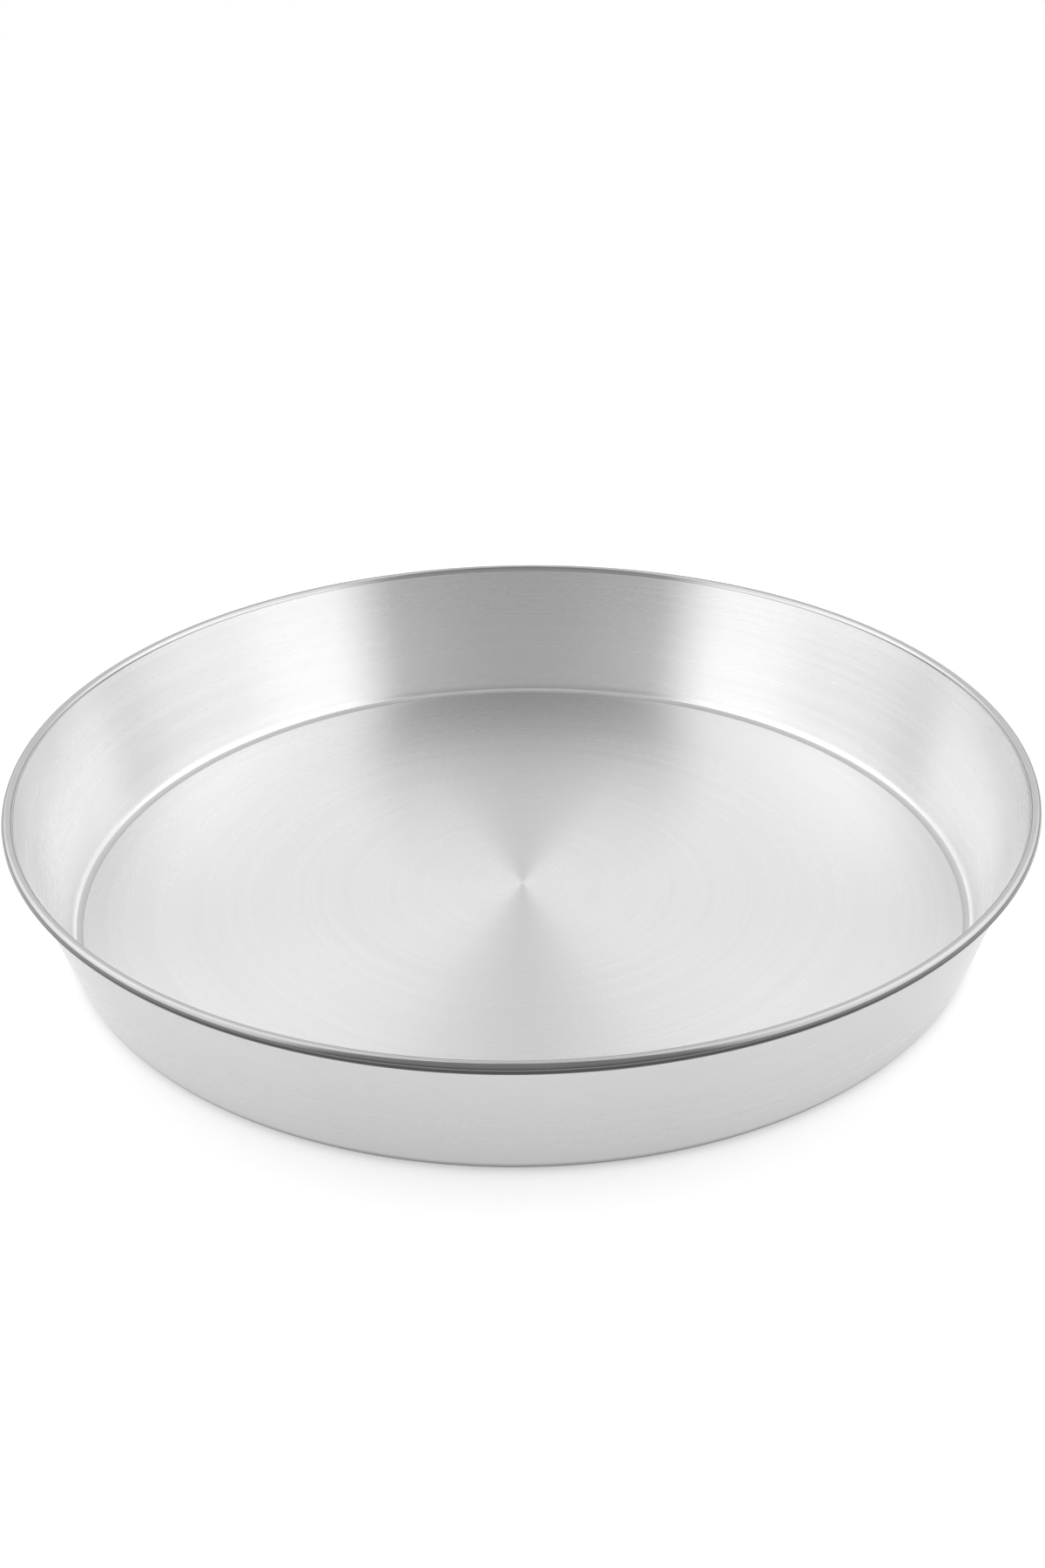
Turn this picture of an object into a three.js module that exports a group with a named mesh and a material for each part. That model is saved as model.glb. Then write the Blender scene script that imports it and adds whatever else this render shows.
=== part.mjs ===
// Round baking tray: one aluminium sheet spun into a flat floor, a round corner and a flared wall,
// with its rim rolled outward over a steel wire.
// Millimetres, +Z up. The origin is the centre of the base, on the surface that the tray stands on.
import * as THREE from "three";

// Driving dimensions
const RIM_DIAMETER = 360; // over the outside of the rolled rim
const TRAY_HEIGHT = 52; // from the table to the top of the rolled rim
const BASE_DIAMETER = 316; // flat underside, up to where the corner starts to bend
const SHEET = 1.0; // thickness of the aluminium
const CORNER_RADIUS = 4; // inside bend between floor and wall
const WIRE_DIAMETER = 1.8; // steel wire inside the rolled rim
const WIRE_CLEARANCE = 0.1; // between the wire and the sheet that wraps it
const CURL_GAP = 0.4; // from the cut edge of the sheet to the outside of the wall
const WIRE_END_GAP = 1.0; // between the two butted ends of the wire

// Facets
const TURN_STEPS = 72; // round the tray
const CORNER_STEPS = 4; // through the corner bend
const CURL_STEPS = 12; // round the rolled rim
const WIRE_SIDES = 8;

// Colours and finishes
const SPUN_ALUMINIUM = { color: 0xd3d5d6, metalness: 1, roughness: 0.32 };
const GALVANISED_WIRE = { color: 0x9a9da0, metalness: 1, roughness: 0.5 };

// Section of the tray, as x = distance from the axis and y = height.
// The corner bend and the rolled rim are round, and the straight wall is tangent to both of them.
const hollowRadius = WIRE_DIAMETER / 2 + WIRE_CLEARANCE;
const beadRadius = hollowRadius + SHEET;
const cornerCentre = new THREE.Vector2(BASE_DIAMETER / 2, SHEET + CORNER_RADIUS);
const beadCentre = new THREE.Vector2(RIM_DIAMETER / 2 - beadRadius, TRAY_HEIGHT - beadRadius);

// The wall's inside face touches the corner circle on its outer side and the bead on its inner side,
// so it leans less than the line that joins the two centres.
const centreLine = beadCentre.clone().sub(cornerCentre);
const centreLean = Math.atan2(centreLine.x, centreLine.y);
const wallLean = centreLean - Math.asin((CORNER_RADIUS + beadRadius) / centreLine.length());

// Angles in the section, counted from straight outward.
const underside = -Math.PI / 2;
const wallOutward = -wallLean;
const curlStart = Math.PI - wallLean;
const curlEnd = curlStart - 2 * Math.PI + Math.acos((hollowRadius - CURL_GAP) / beadRadius);

function arc(centre, radius, from, to, steps) {
  const points = [];
  for (let step = 0; step <= steps; step += 1) {
    const angle = from + ((to - from) * step) / steps;
    const offset = new THREE.Vector2(Math.cos(angle), Math.sin(angle)).multiplyScalar(radius);
    points.push(offset.add(centre));
  }
  return points;
}

// The sheet in one closed outline: out along the underside, up the outside of the wall, round the wire,
// back over the rolled rim, down the inside of the wall and in along the floor.
function trayShell() {
  const section = [
    new THREE.Vector2(0, 0),
    ...arc(cornerCentre, CORNER_RADIUS + SHEET, underside, wallOutward, CORNER_STEPS),
    ...arc(beadCentre, hollowRadius, curlStart, curlEnd, CURL_STEPS),
    ...arc(beadCentre, beadRadius, curlEnd, curlStart, CURL_STEPS),
    ...arc(cornerCentre, CORNER_RADIUS, wallOutward, underside, CORNER_STEPS),
    new THREE.Vector2(0, SHEET),
  ];
  const geometry = new THREE.LatheGeometry(section, TURN_STEPS);
  geometry.rotateX(Math.PI / 2);
  const mesh = new THREE.Mesh(geometry, new THREE.MeshStandardMaterial(SPUN_ALUMINIUM));
  mesh.name = "tray_shell";
  return mesh;
}

// A ring in the XY plane that stops short of a full turn, as the wire's two ends only butt.
class OpenRing extends THREE.Curve {
  constructor(radius, endGap) {
    super();
    this.radius = radius;
    this.gapAngle = endGap / radius;
  }

  getPoint(t, target = new THREE.Vector3()) {
    const angle = this.gapAngle / 2 + t * (2 * Math.PI - this.gapAngle);
    return target.set(this.radius * Math.cos(angle), this.radius * Math.sin(angle), 0);
  }
}

function rimWire() {
  const section = new THREE.Shape().absarc(0, 0, WIRE_DIAMETER / 2, 0, 2 * Math.PI);
  const geometry = new THREE.ExtrudeGeometry(section, {
    curveSegments: WIRE_SIDES,
    steps: TURN_STEPS,
    extrudePath: new OpenRing(beadCentre.x, WIRE_END_GAP),
  });
  const mesh = new THREE.Mesh(geometry, new THREE.MeshStandardMaterial(GALVANISED_WIRE));
  mesh.name = "rim_wire";
  mesh.position.z = beadCentre.y;
  return mesh;
}

const tray = new THREE.Group();
tray.name = "round_baking_tray";
tray.add(trayShell(), rimWire());

export default tray;
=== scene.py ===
import math

import bpy
from mathutils import Matrix, Vector


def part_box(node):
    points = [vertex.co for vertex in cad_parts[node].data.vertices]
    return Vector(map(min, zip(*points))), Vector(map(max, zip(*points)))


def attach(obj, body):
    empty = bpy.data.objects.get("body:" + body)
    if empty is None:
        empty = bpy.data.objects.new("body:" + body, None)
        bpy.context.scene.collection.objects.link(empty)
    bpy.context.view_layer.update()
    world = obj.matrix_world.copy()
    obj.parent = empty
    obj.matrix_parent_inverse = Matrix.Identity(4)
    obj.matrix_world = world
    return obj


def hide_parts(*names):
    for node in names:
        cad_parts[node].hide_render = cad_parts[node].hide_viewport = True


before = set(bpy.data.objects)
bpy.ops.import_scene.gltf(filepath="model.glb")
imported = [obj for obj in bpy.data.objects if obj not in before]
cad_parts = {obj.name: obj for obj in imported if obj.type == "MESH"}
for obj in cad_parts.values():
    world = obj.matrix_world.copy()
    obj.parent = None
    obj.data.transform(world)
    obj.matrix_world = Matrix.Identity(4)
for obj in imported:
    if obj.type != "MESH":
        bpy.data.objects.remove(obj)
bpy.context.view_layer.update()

bl_info = {
    "name": "Round baking tray",
    "version": (1, 0, 0),
    "blender": (4, 5, 0),
    "location": "View3D > Sidebar > Baking tray",
    "description": "A spun aluminium baking tray with its rim rolled over a wire",
    "category": "Add Mesh",
}

MM = 0.001

# Direction of the tray's axis, and the factors that leave a place's height out
AXIS = (0, 0, 1)
LEVEL = (1, 1, 0)

# The camera's film, in millimetres along the frame's long side
FILM_MM = 36.0

# Facets of the finished meshes
TURN_STEPS = 288
CORNER_STEPS = 10
WALL_STEPS = 8
CURL_STEPS = 30
FLOOR_RINGS = 6
WIRE_SIDES = 16

# Edges that turn by more than this stay sharp
SMOOTH_ANGLE = math.radians(40)

# How far round the axis one brushed streak reaches, in radians, and how deep the grooves are
STREAK_TURN = 1.7
GROOVE_DEPTH = 0.004 * MM

# Finer layers in the streaks' noise, and its levels where a streak is darkest and lightest
STREAK_DETAIL = 1.0
STREAK_DARK = 0.25
STREAK_LIGHT = 0.75

# Half the soft border between the sheet's two sides, where the outside's painted shade starts; the floor
# faces -1 and the underside 1
SIDE_BORDER = 0.5

# Share of the foot's height that has its painted contact shadow in full
FOOT_SHADOW_FULL = 0.25

# Soft clouds on metal that isn't brushed: their size, the finer layers in their noise, and how far they
# change the metal's tone and its roughness
CLOUD_SIZE = 12.0 * MM
CLOUD_DETAIL = 3.0
CLOUD_SHADE = 0.06
CLOUD_ROUGHNESS = 0.05

# Where the rim turns from its own tone to painted shade: outward lean of the border, and its two ends in
# bead radii
SHADE_SLOPE = 0.5
SHADE_START = 0.75
SHADE_END = 0.5

# Length of one zinc crystal on the wire
ZINC_CRYSTAL = 3.0 * MM

# Width of the narrow face that keeps a flat stretch flat where it runs into a bend
GUARD = 0.4 * MM

# How far the corner bend has turned up from the floor where the brush reaches it again and the corner's
# painted shade ends
DULL_TURN = math.radians(37)

# Places of the two bends' finishes among the shell's materials
CORNER_SLOT = 1
RIM_SLOT = 2

# The stage, in metres. The paper lies a hair below the tray's base, so that the two faces stay apart.
TABLE_RADIUS = 2.0
TABLE_GAP = 0.1 * MM
TENT_RADIUS = 3.0
TENT_SEGMENTS = 64
WHITE = (1, 1, 1, 1)

shell_low, shell_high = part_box("tray_shell")


def linear(hex_colour):
    """The linear RGBA colour of an sRGB hex value."""
    channels = [int(hex_colour[i:i + 2], 16) / 255 for i in (1, 3, 5)]
    return [c / 12.92 if c <= 0.04045 else ((c + 0.055) / 1.055) ** 2.4 for c in channels] + [1.0]


class TraySizes(bpy.types.PropertyGroup):
    """Real sizes of the tray, in metres."""

    rim_diameter: bpy.props.FloatProperty(
        name="Rim diameter", description="Over the outside of the rolled rim",
        default=shell_high.x - shell_low.x, unit="LENGTH", precision=4)
    height: bpy.props.FloatProperty(
        name="Height", description="From the table to the top of the rolled rim",
        default=shell_high.z - shell_low.z, unit="LENGTH", precision=4)
    base_diameter: bpy.props.FloatProperty(
        name="Base diameter", description="Flat underside, up to where the corner starts to bend",
        default=316 * MM, unit="LENGTH", precision=4)
    sheet: bpy.props.FloatProperty(
        name="Sheet", description="Thickness of the aluminium",
        default=1.0 * MM, unit="LENGTH", precision=5)
    corner_radius: bpy.props.FloatProperty(
        name="Corner radius", description="Inside bend between floor and wall",
        default=4 * MM, unit="LENGTH", precision=5)
    wire_diameter: bpy.props.FloatProperty(
        name="Wire diameter", description="Steel wire inside the rolled rim",
        default=1.8 * MM, unit="LENGTH", precision=5)
    wire_clearance: bpy.props.FloatProperty(
        name="Wire clearance", description="Between the wire and the sheet that wraps it",
        default=0.1 * MM, unit="LENGTH", precision=5)
    curl_gap: bpy.props.FloatProperty(
        name="Curl gap", description="From the cut edge of the sheet to the outside of the wall",
        default=0.4 * MM, unit="LENGTH", precision=5)
    wire_end_gap: bpy.props.FloatProperty(
        name="Wire end gap", description="Between the two butted ends of the wire",
        default=1.0 * MM, unit="LENGTH", precision=5)

    def hollow_radius(self):
        """Radius of the space that the rolled rim leaves for the wire."""
        return self.wire_diameter / 2 + self.wire_clearance

    def bead_radius(self):
        """Radius of the outside of the rolled rim."""
        return self.hollow_radius() + self.sheet

    def bead_centre(self):
        """Distance from the axis and height of the middle of the rolled rim."""
        return Vector((self.rim_diameter / 2 - self.bead_radius(), self.height - self.bead_radius()))

    def corner_centre(self):
        """Distance from the axis and height of the middle of the corner bend."""
        return Vector((self.base_diameter / 2, self.sheet + self.corner_radius))

    def wall_lean(self):
        """Angle of the straight wall from upright, tangent to the corner bend and to the rolled rim."""
        centre_line = self.bead_centre() - self.corner_centre()
        centre_lean = math.atan2(centre_line.x, centre_line.y)
        return centre_lean - math.asin((self.corner_radius + self.bead_radius()) / centre_line.length)


class TrayFinish(bpy.types.PropertyGroup):
    """Colours and surface of the two metals."""

    inside_tone: bpy.props.FloatVectorProperty(
        name="Inside tone", description="Colour of the brushed inside of the tray",
        default=linear("#efefef"), size=4, subtype="COLOR")
    # The outside's darker tone is painted shade for the shadowed paper that the outside reflects.
    outside_shade_tone: bpy.props.FloatVectorProperty(
        name="Outside shade tone", description="Colour of the outside, which is brushed less bright",
        default=linear("#d2d2d2"), size=4, subtype="COLOR")
    rim_tone: bpy.props.FloatVectorProperty(
        name="Rim tone", description="Colour of the rolled rim, greyed by the roller",
        default=linear("#c8c8c8"), size=4, subtype="COLOR")
    # The crease tone is painted shade on the rim's outside and underneath.
    crease_shade_tone: bpy.props.FloatVectorProperty(
        name="Crease shade tone", description="Colour of the rim's outside and underneath, where oxide stays",
        default=linear("#484848"), size=4, subtype="COLOR")
    # The foot's dark tone is a painted contact shadow along the tray's bottom edge, up to the foot height.
    foot_shadow_tone: bpy.props.FloatVectorProperty(
        name="Foot shadow tone", description="Colour of the tray's bottom edge, scuffed by oven racks",
        default=linear("#505050"), size=4, subtype="COLOR")
    foot_shadow_height: bpy.props.FloatProperty(
        name="Foot shadow height", description="How far the scuffed edge reaches up from the table",
        default=4.0 * MM, unit="LENGTH", precision=5)
    # The corner's darker tone is painted shade in the corner bend; its higher roughness is the unbrushed
    # finish.
    corner_shade_tone: bpy.props.FloatVectorProperty(
        name="Corner shade tone", description="Colour of the corner bend's foot, which the brush doesn't reach",
        default=linear("#d4d4d4"), size=4, subtype="COLOR")
    streak_contrast: bpy.props.FloatProperty(
        name="Streak contrast", description="How much one brushed streak is darker than the next",
        default=0.035, min=0, max=1, subtype="FACTOR")
    brush_pitch: bpy.props.FloatProperty(
        name="Brush pitch", description="Distance from one brushed streak to the next",
        default=2.0 * MM, unit="LENGTH", precision=5)
    roughness: bpy.props.FloatProperty(
        name="Roughness", description="Roughness of the brushed aluminium",
        default=0.27, min=0, max=1, subtype="FACTOR")
    roughness_spread: bpy.props.FloatProperty(
        name="Roughness spread", description="How far a streak's roughness lies from the mean at most",
        default=0.015, min=0, max=1, subtype="FACTOR")
    corner_roughness: bpy.props.FloatProperty(
        name="Corner roughness", description="Roughness of the corner bend's foot",
        default=0.55, min=0, max=1, subtype="FACTOR")
    rim_roughness: bpy.props.FloatProperty(
        name="Rim roughness", description="Roughness of the rim, burnished by the roller that curls it",
        default=0.15, min=0, max=1, subtype="FACTOR")
    zinc_shade: bpy.props.FloatVectorProperty(
        name="Zinc shade", description="Darker colour of the wire's zinc coat",
        default=linear("#9a9da0"), size=4, subtype="COLOR")
    zinc_tint: bpy.props.FloatVectorProperty(
        name="Zinc tint", description="Lighter colour of the wire's zinc coat",
        default=linear("#b4b7b9"), size=4, subtype="COLOR")
    zinc_roughness: bpy.props.FloatProperty(
        name="Zinc roughness", description="Roughness of the wire's zinc coat",
        default=0.5, min=0, max=1, subtype="FACTOR")


def arc(centre, radius, start, end, steps):
    """Points on an arc of the section, as distance from the axis and height."""
    points = []
    for step in range(steps + 1):
        angle = start + (end - start) * step / steps
        points.append(centre + radius * Vector((math.cos(angle), math.sin(angle))))
    return points


def guarded_line(start, end, steps):
    """Points between two ends of a straight stretch, with a narrow step beside each end."""
    along = (end - start).normalized()
    first = start + GUARD * along
    last = end - GUARD * along
    return [first.lerp(last, step / steps) for step in range(steps + 1)]


def inside_face(sizes):
    """The sheet's inside face as a section: up from the floor's edge, then over and round the rolled rim."""
    lean = sizes.wall_lean()
    curl_start = math.pi - lean
    curl_open = math.acos((sizes.hollow_radius() - sizes.curl_gap) / sizes.bead_radius())
    corner = arc(sizes.corner_centre(), sizes.corner_radius, -math.pi / 2, -lean, CORNER_STEPS)
    curl = arc(sizes.bead_centre(), sizes.bead_radius(), curl_start, curl_start - math.tau + curl_open,
               CURL_STEPS)
    return corner + guarded_line(corner[-1], curl[0], WALL_STEPS) + curl


def start_piece():
    """Leave edit mode with nothing selected, ready for a new primitive."""
    if bpy.context.mode != "OBJECT":
        bpy.ops.object.mode_set(mode="OBJECT")
    bpy.ops.object.select_all(action="DESELECT")


def finish_piece(piece, name, node, material):
    """Name a finished piece, dress it and put it in the place of its CAD node."""
    piece.name = name
    piece.data.name = name
    piece.data.materials.clear()
    piece.data.materials.append(material)
    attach(piece, "root")
    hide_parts(node)


def add_node(tree, kind, inputs=(), **settings):
    """Add a node, apply its settings, and fill its inputs with values or with other nodes' sockets."""
    node = tree.nodes.new(kind)
    for key, value in settings.items():
        setattr(node, key, value)
    for key, value in dict(inputs).items():
        if isinstance(value, bpy.types.NodeSocket):
            tree.links.new(value, node.inputs[key])
        else:
            node.inputs[key].default_value = value
    return node


def set_ramp(node, full_angle, stops):
    """Give a colour ramp one grey stop for each angle and level."""
    ramp = node.color_ramp
    while len(ramp.elements) < len(stops):
        ramp.elements.new(1.0)
    for element, (angle, level) in zip(ramp.elements, stops):
        element.position = angle / full_angle
        element.color = (level, level, level, 1)


def new_material(name):
    """A material whose node tree is still empty."""
    material = bpy.data.materials.new(name)
    material.use_nodes = True
    material.node_tree.nodes.clear()
    return material


def cloudy(tree, place, tone, roughness):
    """Soft clouds over metal that isn't brushed: the sockets of its uneven tone and uneven roughness."""
    cloud = add_node(tree, "ShaderNodeTexNoise",
                     {"Vector": place, "Scale": 1 / CLOUD_SIZE, "Detail": CLOUD_DETAIL})
    shade = add_node(tree, "ShaderNodeMapRange",
                     {"Value": cloud.outputs["Fac"], "To Min": 1 - CLOUD_SHADE, "To Max": 1 + CLOUD_SHADE})
    clouded = add_node(tree, "ShaderNodeMix", {"Factor": 1.0, "A": tone, "B": shade.outputs["Result"]},
                       data_type="RGBA", blend_type="MULTIPLY")
    rough = add_node(tree, "ShaderNodeMapRange",
                     {"Value": cloud.outputs["Fac"], "To Min": roughness - CLOUD_ROUGHNESS,
                      "To Max": roughness + CLOUD_ROUGHNESS})
    return clouded.outputs["Result"], rough.outputs["Result"]


def spun_aluminium(sizes, finish):
    """Spun aluminium, brushed in circles on the lathe: a satin white metal whose fine grooves run round
    the axis, so light spreads along the radius and gathers into a bow-tie on the floor."""
    material = new_material("spun_aluminium_circular_brushed")
    tree = material.node_tree
    place = add_node(tree, "ShaderNodeTexCoord").outputs["Object"]
    flat = add_node(tree, "ShaderNodeVectorMath", {0: place, 1: LEVEL}, operation="MULTIPLY")
    radius = add_node(tree, "ShaderNodeVectorMath", {0: flat.outputs[0]}, operation="LENGTH")
    bearing = add_node(tree, "ShaderNodeVectorMath", {0: flat.outputs[0]}, operation="NORMALIZE")
    height = add_node(tree, "ShaderNodeSeparateXYZ", {0: place})

    # The real grooves are about 0.1 mm apart, too fine to show here, so the streaks are drawn coarser.
    across = add_node(tree, "ShaderNodeMath", {0: radius.outputs["Value"], 1: height.outputs["Z"]},
                      operation="ADD")
    streak = add_node(tree, "ShaderNodeMath", {0: across.outputs[0], 1: 1 / finish.brush_pitch},
                      operation="MULTIPLY")
    lift = add_node(tree, "ShaderNodeCombineXYZ", {"Z": streak.outputs[0]})
    turned = add_node(tree, "ShaderNodeVectorMath", {0: bearing.outputs[0], "Scale": 1 / STREAK_TURN},
                      operation="SCALE")
    brushed = add_node(tree, "ShaderNodeVectorMath", {0: turned.outputs[0], 1: lift.outputs[0]},
                       operation="ADD")
    streaks = add_node(tree, "ShaderNodeTexNoise",
                       {"Vector": brushed.outputs[0], "Scale": 1.0, "Detail": STREAK_DETAIL})
    relief = add_node(tree, "ShaderNodeBump", {"Height": streaks.outputs["Fac"], "Distance": GROOVE_DEPTH})

    # The outside is the side that faces outward or down; its darker tone is painted shade for the shadowed
    # paper that it reflects. The foot is its bend above the flat underside, darker still as a painted
    # contact shadow.
    normal = add_node(tree, "ShaderNodeNewGeometry").outputs["Normal"]
    out_and_down = add_node(tree, "ShaderNodeVectorMath", {0: bearing.outputs[0], 1: AXIS},
                            operation="SUBTRACT")
    facing = add_node(tree, "ShaderNodeVectorMath", {0: normal, 1: out_and_down.outputs[0]},
                      operation="DOT_PRODUCT")
    outside = add_node(tree, "ShaderNodeMapRange",
                       {"Value": facing.outputs["Value"], "From Min": -SIDE_BORDER, "From Max": SIDE_BORDER})
    low = add_node(tree, "ShaderNodeMapRange",
                   {"Value": height.outputs["Z"], "From Min": finish.foot_shadow_height,
                    "From Max": FOOT_SHADOW_FULL * finish.foot_shadow_height})
    base_radius = sizes.base_diameter / 2
    beyond_base = add_node(tree, "ShaderNodeMapRange",
                           {"Value": radius.outputs["Value"], "From Min": base_radius - finish.foot_shadow_height,
                            "From Max": base_radius})
    # The foot mask places the painted contact shadow on the bottom edge.
    foot = add_node(tree, "ShaderNodeMath",
                    {0: low.outputs["Result"], 1: beyond_base.outputs["Result"]}, operation="MULTIPLY")
    outside_shade_tone = add_node(tree, "ShaderNodeMix",
                            {"Factor": foot.outputs[0], "A": finish.outside_shade_tone,
                             "B": finish.foot_shadow_tone}, data_type="RGBA")
    sheet_tone = add_node(tree, "ShaderNodeMix",
                          {"Factor": outside.outputs["Result"], "A": finish.inside_tone,
                           "B": outside_shade_tone.outputs["Result"]}, data_type="RGBA")
    shade = add_node(tree, "ShaderNodeMapRange",
                     {"Value": streaks.outputs["Fac"], "From Min": STREAK_DARK, "From Max": STREAK_LIGHT,
                      "To Min": 1 - finish.streak_contrast / 2, "To Max": 1 + finish.streak_contrast / 2})
    tone = add_node(tree, "ShaderNodeMix",
                    {"Factor": 1.0, "A": sheet_tone.outputs["Result"], "B": shade.outputs["Result"]},
                    data_type="RGBA", blend_type="MULTIPLY")

    rough = add_node(tree, "ShaderNodeMapRange",
                     {"Value": streaks.outputs["Fac"], "To Min": finish.roughness - finish.roughness_spread,
                      "To Max": finish.roughness + finish.roughness_spread})

    # The tangent runs round the axis, and the quarter turn lays the spread of the light across it.
    circle = add_node(tree, "ShaderNodeVectorMath", {0: AXIS, 1: place}, operation="CROSS_PRODUCT")
    metal = add_node(tree, "ShaderNodeBsdfPrincipled",
                     {"Base Color": tone.outputs["Result"], "Roughness": rough.outputs["Result"],
                      "Normal": relief.outputs["Normal"], "Tangent": circle.outputs[0],
                      "Metallic": 1.0, "Anisotropic": 1.0, "Anisotropic Rotation": 0.25})
    add_node(tree, "ShaderNodeOutputMaterial", {"Surface": metal.outputs[0]})
    return material


def rolled_rim(sizes, finish):
    """Aluminium pressed round by a roller: a greyer satin bead without grooves, with painted shade on its
    outside and underneath."""
    material = new_material("aluminium_rolled_rim")
    tree = material.node_tree
    place = add_node(tree, "ShaderNodeTexCoord").outputs["Object"]
    flat = add_node(tree, "ShaderNodeVectorMath", {0: place, 1: LEVEL}, operation="MULTIPLY")
    radius = add_node(tree, "ShaderNodeVectorMath", {0: flat.outputs[0]}, operation="LENGTH")
    height = add_node(tree, "ShaderNodeSeparateXYZ", {0: place})

    # The painted shade grows from the top and inside of the bead to its outside and bottom.
    shade_border = add_node(tree, "ShaderNodeMath",
                      {0: radius.outputs["Value"], 1: -SHADE_SLOPE, 2: height.outputs["Z"]},
                      operation="MULTIPLY_ADD")
    bead = sizes.bead_centre()
    middle = bead.y - SHADE_SLOPE * bead.x
    # The dark mask is the share of painted shade.
    dark = add_node(tree, "ShaderNodeMapRange",
                    {"Value": shade_border.outputs[0], "From Min": middle + SHADE_START * sizes.bead_radius(),
                     "From Max": middle - SHADE_END * sizes.bead_radius()})
    # The rim's own tone, with painted shade mixed in towards the outside and bottom.
    rim_tone = add_node(tree, "ShaderNodeMix",
                        {"Factor": dark.outputs["Result"], "A": finish.rim_tone, "B": finish.crease_shade_tone},
                        data_type="RGBA")
    tone, rough = cloudy(tree, place, rim_tone.outputs["Result"], finish.rim_roughness)
    metal = add_node(tree, "ShaderNodeBsdfPrincipled",
                     {"Base Color": tone, "Roughness": rough, "Metallic": 1.0})
    add_node(tree, "ShaderNodeOutputMaterial", {"Surface": metal.outputs[0]})
    return material


def unbrushed_shaded_corner(finish):
    """Spun aluminium at the corner's foot, where the brush doesn't reach: rougher, slightly cloudy and
    without grooves, and darker as painted shade in the corner bend, a dull grey line round the floor."""
    material = new_material("spun_aluminium_unbrushed_shaded")
    tree = material.node_tree
    place = add_node(tree, "ShaderNodeTexCoord").outputs["Object"]
    tone, rough = cloudy(tree, place, finish.corner_shade_tone, finish.corner_roughness)
    metal = add_node(tree, "ShaderNodeBsdfPrincipled",
                     {"Base Color": tone, "Roughness": rough, "Metallic": 1.0})
    add_node(tree, "ShaderNodeOutputMaterial", {"Surface": metal.outputs[0]})
    return material


def galvanised_wire(finish):
    """Drawn steel wire with a dull zinc coat: grey, with soft crystals of zinc a few millimetres long,
    each of them smoother in its middle."""
    material = new_material("steel_wire_galvanised")
    tree = material.node_tree
    place = add_node(tree, "ShaderNodeTexCoord").outputs["Object"]
    zinc = add_node(tree, "ShaderNodeTexVoronoi", {"Vector": place, "Scale": 1 / ZINC_CRYSTAL})
    tone = add_node(tree, "ShaderNodeMix",
                    {"Factor": zinc.outputs["Distance"], "A": finish.zinc_shade, "B": finish.zinc_tint},
                    data_type="RGBA")
    rough = add_node(tree, "ShaderNodeMapRange",
                     {"Value": zinc.outputs["Distance"], "To Min": finish.zinc_roughness - CLOUD_ROUGHNESS,
                      "To Max": finish.zinc_roughness + CLOUD_ROUGHNESS})
    metal = add_node(tree, "ShaderNodeBsdfPrincipled",
                     {"Base Color": tone.outputs["Result"], "Roughness": rough.outputs["Result"],
                      "Metallic": 1.0})
    add_node(tree, "ShaderNodeOutputMaterial", {"Surface": metal.outputs[0]})
    return material


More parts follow.
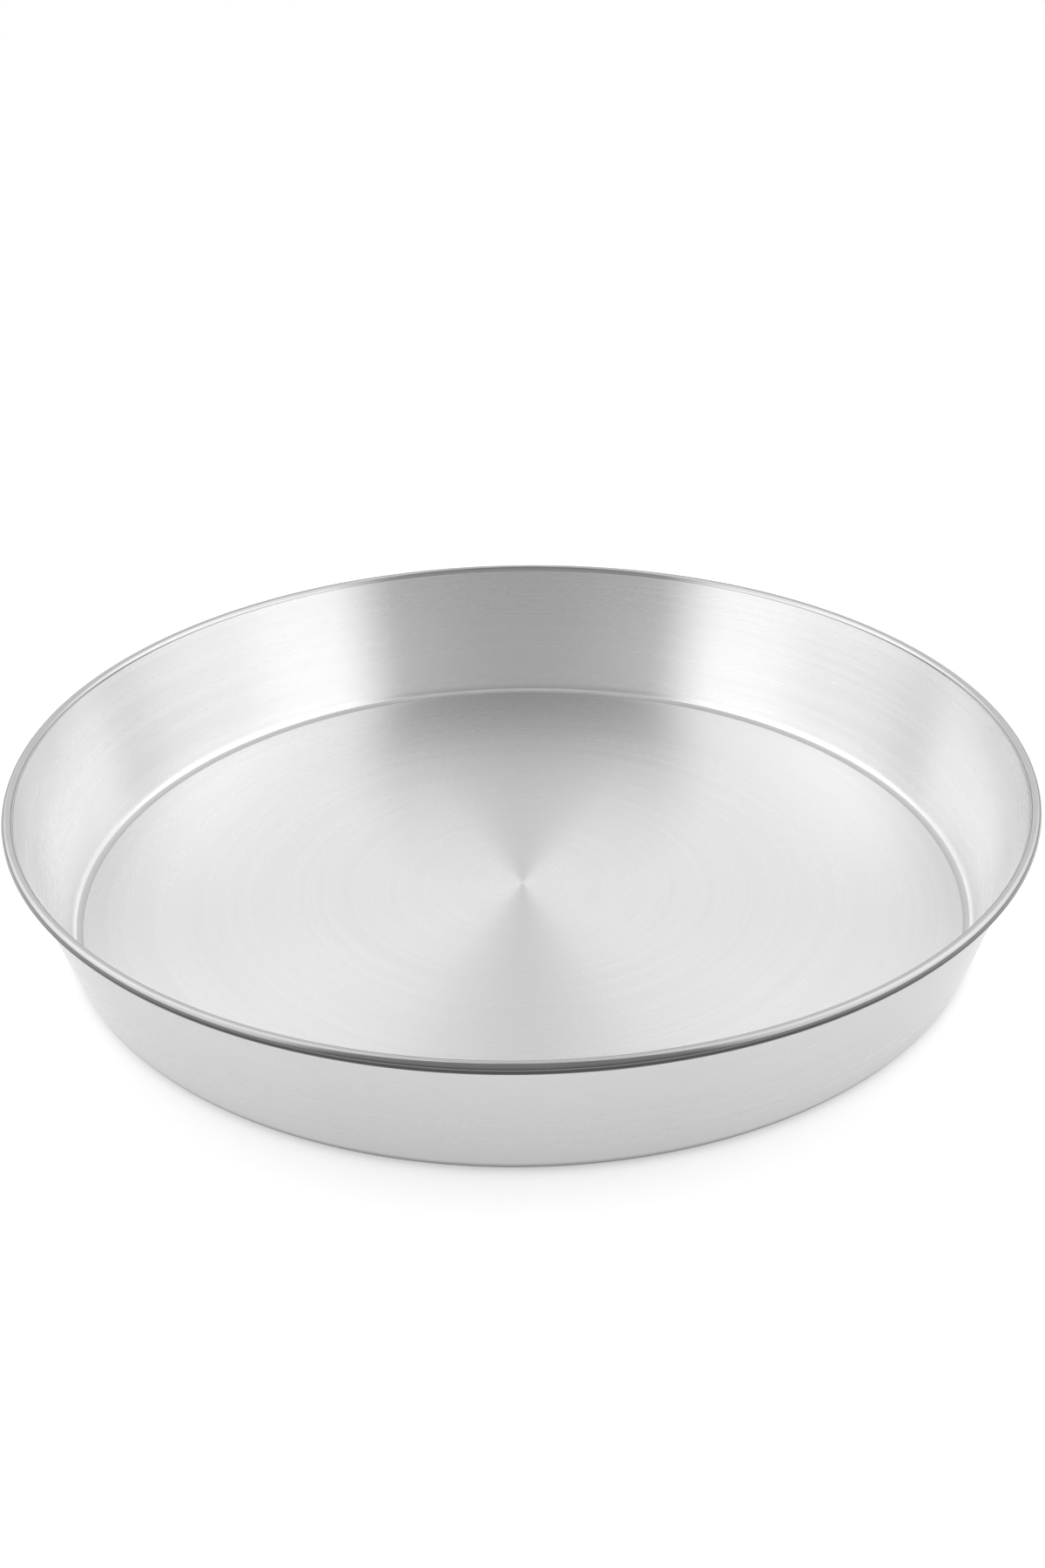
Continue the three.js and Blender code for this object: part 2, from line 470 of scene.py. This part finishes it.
class TRAY_OT_add_shell(bpy.types.Operator):
    """Model the aluminium sheet: floor, corner bend, flared wall and rolled rim."""

    bl_idname = "tray.add_shell"
    bl_label = "Aluminium shell"

    def execute(self, context):
        sizes = context.scene.tray_sizes
        start_piece()
        base_radius = sizes.base_diameter / 2
        bpy.ops.mesh.primitive_circle_add(vertices=TURN_STEPS, radius=base_radius, fill_type="NGON",
                                          location=(0, 0, sizes.sheet))
        bpy.ops.object.transform_apply(location=True, rotation=True, scale=True)
        shell = context.object
        bpy.ops.object.mode_set(mode="EDIT")
        bpy.ops.mesh.select_mode(type="EDGE")
        bpy.ops.mesh.select_all(action="SELECT")
        self.raise_wall(inside_face(sizes))
        self.ring_floor(shell, base_radius)
        bpy.ops.object.mode_set(mode="OBJECT")
        thickness = shell.modifiers.new("sheet", "SOLIDIFY")
        thickness.thickness = sizes.sheet
        thickness.offset = -1
        thickness.use_even_offset = True
        bpy.ops.object.modifier_apply(modifier=thickness.name)
        bpy.ops.object.shade_smooth_by_angle(angle=SMOOTH_ANGLE)
        finish = context.scene.tray_finish
        finish_piece(shell, "aluminium_shell", "tray_shell", spun_aluminium(sizes, finish))
        shell.data.materials.append(unbrushed_shaded_corner(finish))
        shell.data.materials.append(rolled_rim(sizes, finish))
        self.dress_bends(shell, sizes)
        return {"FINISHED"}

    def raise_wall(self, section):
        """Extrude the selected rim of the floor through the points of the section, ring after ring."""
        for before, after in zip(section, section[1:]):
            widen = after.x / before.x
            bpy.ops.mesh.extrude_edges_move(
                TRANSFORM_OT_translate={"value": (0, 0, after.y - before.y)})
            bpy.ops.transform.resize(value=(widen, widen, 1), center_override=(0, 0, 0))

    def ring_floor(self, shell, base_radius):
        """Divide the floor into rings round a middle point, with a narrow one beside the corner bend."""
        bpy.ops.mesh.select_mode(type="FACE")
        bpy.ops.mesh.select_all(action="DESELECT")
        bpy.ops.object.mode_set(mode="OBJECT")
        for face in shell.data.polygons:
            face.select = len(face.vertices) == TURN_STEPS
        bpy.ops.object.mode_set(mode="EDIT")
        bpy.ops.mesh.inset(thickness=GUARD)
        for _ in range(FLOOR_RINGS):
            bpy.ops.mesh.inset(thickness=base_radius / (FLOOR_RINGS + 1))
        bpy.ops.mesh.poke()

    def dress_bends(self, shell, sizes):
        """Give the foot of the corner bend its unbrushed finish with painted shade, and the rolled rim its
        own, whose tone carries painted shade.
        """
        corner = sizes.corner_centre()
        dull_top = corner.y - sizes.corner_radius * math.cos(DULL_TURN)
        bead = sizes.bead_centre()
        bead_reach = sizes.bead_radius() + GUARD / 2
        for face in shell.data.polygons:
            outward = Vector((face.center.x, face.center.y, 0)).length
            inside = face.normal.x * face.center.x + face.normal.y * face.center.y < 0
            if outward > corner.x and sizes.sheet < face.center.z < dull_top and inside:
                face.material_index = CORNER_SLOT
            elif (Vector((outward, face.center.z)) - bead).length < bead_reach:
                face.material_index = RIM_SLOT


class TRAY_OT_add_wire(bpy.types.Operator):
    """Model the steel wire ring inside the rolled rim, with its two ends butted."""

    bl_idname = "tray.add_wire"
    bl_label = "Rim wire"

    def execute(self, context):
        sizes = context.scene.tray_sizes
        ring = sizes.bead_centre()
        gap_angle = sizes.wire_end_gap / ring.x
        start_piece()
        bpy.ops.mesh.primitive_circle_add(
            vertices=WIRE_SIDES, radius=sizes.wire_diameter / 2,
            location=(ring.x * math.cos(gap_angle / 2), ring.x * math.sin(gap_angle / 2), ring.y),
            rotation=(math.pi / 2, 0, gap_angle / 2))
        bpy.ops.object.transform_apply(location=True, rotation=True, scale=True)
        wire = context.object
        bpy.ops.object.mode_set(mode="EDIT")
        bpy.ops.mesh.select_all(action="SELECT")
        bpy.ops.mesh.spin(steps=TURN_STEPS, angle=math.tau - gap_angle, center=(0, 0, 0), axis=AXIS)
        bpy.ops.mesh.select_all(action="SELECT")
        bpy.ops.mesh.fill_holes(sides=WIRE_SIDES)
        bpy.ops.mesh.select_all(action="SELECT")
        bpy.ops.mesh.normals_make_consistent(inside=False)
        bpy.ops.object.mode_set(mode="OBJECT")
        bpy.ops.object.shade_smooth_by_angle(angle=SMOOTH_ANGLE)
        finish_piece(wire, "steel_rim_wire", "rim_wire",
                     galvanised_wire(context.scene.tray_finish))
        return {"FINISHED"}


class StageSettings(bpy.types.PropertyGroup):
    """Camera, table and light."""

    distance: bpy.props.FloatProperty(
        name="Camera distance", description="From the centre of the tray's base to the camera",
        default=0.748, unit="LENGTH", precision=4)
    elevation: bpy.props.FloatProperty(
        name="Camera elevation", description="Angle of the camera above the table",
        default=math.radians(31.57), subtype="ANGLE")
    roll: bpy.props.FloatProperty(
        name="Camera roll", description="Turn of the camera about its own line of sight",
        default=math.radians(-0.83), subtype="ANGLE")
    rise: bpy.props.FloatProperty(
        name="Camera rise", description="How far above the tray's base the camera aims",
        default=math.radians(2.843), subtype="ANGLE")
    lens: bpy.props.FloatProperty(
        name="Lens", description="Focal length in millimetres", default=46.88, unit="CAMERA")
    paper_colour: bpy.props.FloatVectorProperty(
        name="Paper colour", description="Colour of the paper that the tray stands on",
        default=linear("#f2f2f2"), size=4, subtype="COLOR")
    paper_glow: bpy.props.FloatProperty(
        name="Paper glow", description="Light added to the paper where it is looked at, to make it white",
        default=0.45, min=0, max=1, subtype="FACTOR")
    opening_turn: bpy.props.FloatProperty(
        name="Opening turn", description="Bearing of the middle of the tent's opening",
        default=math.radians(-2), subtype="ANGLE")
    opening_lean: bpy.props.FloatProperty(
        name="Opening lean",
        description="How far the opening reaches back over the table, as a share of its height",
        default=0.3, min=0, max=1, subtype="FACTOR")
    opening_angle: bpy.props.FloatProperty(
        name="Opening angle", description="From the middle of the opening to where its soft edge starts",
        default=math.radians(32), subtype="ANGLE")
    opening_level: bpy.props.FloatProperty(
        name="Opening level", description="Light from the tent's opening, where the camera looks in",
        default=0.45, min=0)
    edge_angle: bpy.props.FloatProperty(
        name="Edge angle", description="From the middle of the opening to where its soft edge ends",
        default=math.radians(46), subtype="ANGLE")
    edge_level: bpy.props.FloatProperty(
        name="Edge level", description="Light from the tent's fabric beside the opening", default=1.5, min=0)
    side_start: bpy.props.FloatProperty(
        name="Side start", description="From the middle of the opening to where a lit side starts",
        default=math.radians(86), subtype="ANGLE")
    side_end: bpy.props.FloatProperty(
        name="Side end", description="From the middle of the opening to where a lit side ends",
        default=math.radians(99), subtype="ANGLE")
    side_level: bpy.props.FloatProperty(
        name="Side level", description="Light from the tent's two lit sides", default=1.74, min=0)
    back_start: bpy.props.FloatProperty(
        name="Back start", description="From the middle of the opening to where the tent's back starts",
        default=math.radians(148), subtype="ANGLE")
    back_level: bpy.props.FloatProperty(
        name="Back level", description="Light from the tent's back", default=0.93, min=0)
    hem_angle: bpy.props.FloatProperty(
        name="Hem angle", description="Height above the table at which the tent's dark hem ends",
        default=math.radians(15), subtype="ANGLE")
    hem_level: bpy.props.FloatProperty(
        name="Hem level", description="Share of the light that comes from the foot of the hem",
        default=0.02, min=0, max=1, subtype="FACTOR")
    ceiling_angle: bpy.props.FloatProperty(
        name="Ceiling angle", description="Height at which the tent starts to dim towards its top",
        default=math.radians(28), subtype="ANGLE")
    ceiling_level: bpy.props.FloatProperty(
        name="Ceiling level", description="Share of the light that is left at the tent's top",
        default=0.59, min=0, max=1, subtype="FACTOR")


class TRAY_OT_set_stage(bpy.types.Operator):
    """Set the paper table, the light tent and the camera."""

    bl_idname = "tray.set_stage"
    bl_label = "Table, light and camera"

    def execute(self, context):
        stage = context.scene.tray_stage
        self.lay_table(stage)
        self.pitch_tent(stage)
        self.whiten_world(context.scene)
        self.set_camera(context.scene, stage)
        context.scene.view_settings.view_transform = "Standard"
        return {"FINISHED"}

    def lay_table(self, stage):
        """Lay a round of matt white paper under the tray, which glows only where it is looked at."""
        start_piece()
        bpy.ops.mesh.primitive_circle_add(vertices=TENT_SEGMENTS, radius=TABLE_RADIUS, fill_type="NGON",
                                          location=(0, 0, -TABLE_GAP))
        bpy.ops.object.transform_apply(location=True, rotation=True, scale=True)
        table = bpy.context.object
        table.name = "table"
        material = new_material("white_paper_matt")
        tree = material.node_tree
        paper = add_node(tree, "ShaderNodeBsdfDiffuse", {"Color": stage.paper_colour})
        ray = add_node(tree, "ShaderNodeLightPath").outputs
        direct = add_node(tree, "ShaderNodeMath", {0: ray["Is Camera Ray"], 1: ray["Is Glossy Ray"]},
                          operation="MAXIMUM")
        looked_at = add_node(tree, "ShaderNodeMath", {0: direct.outputs[0], 1: ray["Is Transmission Ray"]},
                             operation="MAXIMUM")
        strength = add_node(tree, "ShaderNodeMath", {0: looked_at.outputs[0], 1: stage.paper_glow},
                            operation="MULTIPLY")
        glow = add_node(tree, "ShaderNodeEmission", {"Color": WHITE, "Strength": strength.outputs[0]})
        both = add_node(tree, "ShaderNodeAddShader", {0: paper.outputs[0], 1: glow.outputs[0]})
        add_node(tree, "ShaderNodeOutputMaterial", {"Surface": both.outputs[0]})
        table.data.materials.append(material)

    def pitch_tent(self, stage):
        """Set a round light tent over the table: lit sides, a dim top, and a dark opening for the camera.
        The camera doesn't see the tent itself, so the tray can be looked at from any side."""
        start_piece()
        bpy.ops.mesh.primitive_uv_sphere_add(segments=TENT_SEGMENTS, ring_count=TENT_SEGMENTS // 2,
                                             radius=TENT_RADIUS)
        tent = bpy.context.object
        tent.name = "light_tent"
        bpy.ops.object.mode_set(mode="EDIT")
        bpy.ops.mesh.select_all(action="SELECT")
        bpy.ops.mesh.bisect(plane_co=(0, 0, 0), plane_no=AXIS, clear_inner=True)
        bpy.ops.object.mode_set(mode="OBJECT")
        tent.visible_camera = False
        tent.data.materials.append(self.tent_fabric(stage))

    def tent_fabric(self, stage):
        """White tent fabric lit from outside: it glows, more in some directions than in others."""
        material = new_material("tent_fabric_lit")
        tree = material.node_tree
        place = add_node(tree, "ShaderNodeTexCoord").outputs["Object"]

        # Bearings are taken from a line that leans back, so the opening in front is wider further up.
        height = add_node(tree, "ShaderNodeSeparateXYZ", {0: place})
        forward = add_node(tree, "ShaderNodeMath", {0: height.outputs["Z"], 1: -stage.opening_lean},
                           operation="MULTIPLY")
        shift = add_node(tree, "ShaderNodeCombineXYZ", {"Y": forward.outputs[0]})
        level = add_node(tree, "ShaderNodeVectorMath", {0: place, 1: LEVEL}, operation="MULTIPLY")
        from_line = add_node(tree, "ShaderNodeVectorMath", {0: level.outputs[0], 1: shift.outputs[0]},
                             operation="ADD")
        bearing = add_node(tree, "ShaderNodeVectorMath", {0: from_line.outputs[0]}, operation="NORMALIZE")
        opening = (math.sin(stage.opening_turn), -math.cos(stage.opening_turn), 0)
        facing = add_node(tree, "ShaderNodeVectorMath", {0: bearing.outputs[0], 1: opening},
                          operation="DOT_PRODUCT")
        turn = add_node(tree, "ShaderNodeMath", {0: facing.outputs["Value"]}, operation="ARCCOSINE")
        half_turns = add_node(tree, "ShaderNodeMath", {0: turn.outputs[0], 1: math.pi}, operation="DIVIDE")
        round_table = add_node(tree, "ShaderNodeValToRGB", {0: half_turns.outputs[0]})
        set_ramp(round_table, math.pi, (
            (0, stage.opening_level), (stage.opening_angle, stage.opening_level),
            (stage.edge_angle, stage.edge_level),
            (stage.side_start, stage.side_level), (stage.side_end, stage.side_level),
            (stage.back_start, stage.back_level), (math.pi, stage.back_level)))

        upward = add_node(tree, "ShaderNodeVectorMath", {0: place}, operation="NORMALIZE")
        lifted = add_node(tree, "ShaderNodeSeparateXYZ", {0: upward.outputs[0]})
        climb = add_node(tree, "ShaderNodeMath", {0: lifted.outputs["Z"]}, operation="ARCSINE")
        quarter_turns = add_node(tree, "ShaderNodeMath", {0: climb.outputs[0], 1: math.pi / 2},
                                 operation="DIVIDE")
        to_top = add_node(tree, "ShaderNodeValToRGB", {0: quarter_turns.outputs[0]})
        set_ramp(to_top, math.pi / 2, (
            (0, stage.hem_level), (stage.hem_angle, 1), (stage.ceiling_angle, 1),
            (math.pi / 2, stage.ceiling_level)))
        strength = add_node(tree, "ShaderNodeMath", {0: round_table.outputs[0], 1: to_top.outputs[0]},
                            operation="MULTIPLY")
        glow = add_node(tree, "ShaderNodeEmission", {"Color": WHITE, "Strength": strength.outputs[0]})
        add_node(tree, "ShaderNodeOutputMaterial", {"Surface": glow.outputs[0]})
        return material

    def whiten_world(self, scene):
        """A plain white world, which is what the camera sees beyond the table."""
        world = bpy.data.worlds.new("white_studio")
        scene.world = world
        world.use_nodes = True
        tree = world.node_tree
        tree.nodes.clear()
        white = add_node(tree, "ShaderNodeBackground", {"Color": WHITE, "Strength": 1.0})
        add_node(tree, "ShaderNodeOutputWorld", {"Surface": white.outputs[0]})

    def set_camera(self, scene, stage):
        """Set the camera in front of the tray, aimed a little above its base."""
        data = bpy.data.cameras.new("camera")
        data.sensor_width = FILM_MM
        data.lens = stage.lens
        camera = bpy.data.objects.new("camera", data)
        scene.collection.objects.link(camera)
        away = Vector((0, -math.cos(stage.elevation), math.sin(stage.elevation)))
        facing = (-away).to_track_quat("-Z", "Y").to_matrix().to_4x4()
        tilt = Matrix.Rotation(stage.roll, 4, "Z") @ Matrix.Rotation(stage.rise, 4, "X")
        camera.matrix_world = Matrix.Translation(stage.distance * away) @ facing @ tilt
        scene.camera = camera


class TRAY_PT_panel(bpy.types.Panel):
    """Lists the tray's pieces and its stage."""

    bl_idname = "TRAY_PT_panel"
    bl_label = "Round baking tray"
    bl_space_type = "VIEW_3D"
    bl_region_type = "UI"
    bl_category = "Baking tray"

    def draw(self, context):
        for operator in OPERATORS:
            self.layout.operator(operator.bl_idname)
        scene = context.scene
        for group in (scene.tray_sizes, scene.tray_finish, scene.tray_stage):
            for name in group.bl_rna.properties.keys():
                if name not in ("rna_type", "name"):
                    self.layout.prop(group, name)


OPERATORS = (TRAY_OT_add_shell, TRAY_OT_add_wire, TRAY_OT_set_stage)
CLASSES = (TraySizes, TrayFinish, StageSettings, *OPERATORS, TRAY_PT_panel)


def register():
    for cls in CLASSES:
        bpy.utils.register_class(cls)
    bpy.types.Scene.tray_sizes = bpy.props.PointerProperty(type=TraySizes)
    bpy.types.Scene.tray_finish = bpy.props.PointerProperty(type=TrayFinish)
    bpy.types.Scene.tray_stage = bpy.props.PointerProperty(type=StageSettings)


def unregister():
    del bpy.types.Scene.tray_stage
    del bpy.types.Scene.tray_finish
    del bpy.types.Scene.tray_sizes
    for cls in reversed(CLASSES):
        bpy.utils.unregister_class(cls)


def main():
    """Build the tray and its stage."""
    register()
    bpy.ops.tray.add_shell()
    bpy.ops.tray.add_wire()
    bpy.ops.tray.set_stage()


if __name__ == "__main__":
    main()
